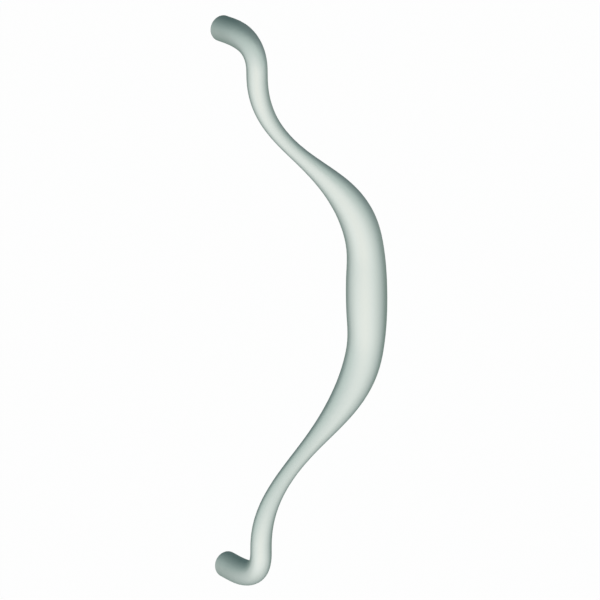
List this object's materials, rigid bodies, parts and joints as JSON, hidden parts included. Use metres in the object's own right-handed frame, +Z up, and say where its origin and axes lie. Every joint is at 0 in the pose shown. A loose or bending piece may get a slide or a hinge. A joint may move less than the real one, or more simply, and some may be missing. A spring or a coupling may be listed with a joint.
{
  "type": "door pull",
  "caption": "Cranked door pull: a barrel grip bowed out sideways on slim curved arms that turn back through elbows into round feet with tapped seats.",
  "frame": {"origin": "on the door face, midway between the centres of the upper and the lower seat", "axes": "+Y out of the seats into the door, +X towards the bowed grip, +Z up along the line of the feet"},
  "size_m": [0.1208, 0.0703, 0.4468],
  "materials": {
    "satin_aluminium": "satin anodised"
  },
  "bodies": {
    "root": {"pull_handle": "satin_aluminium"}
  },
  "joints": []
}
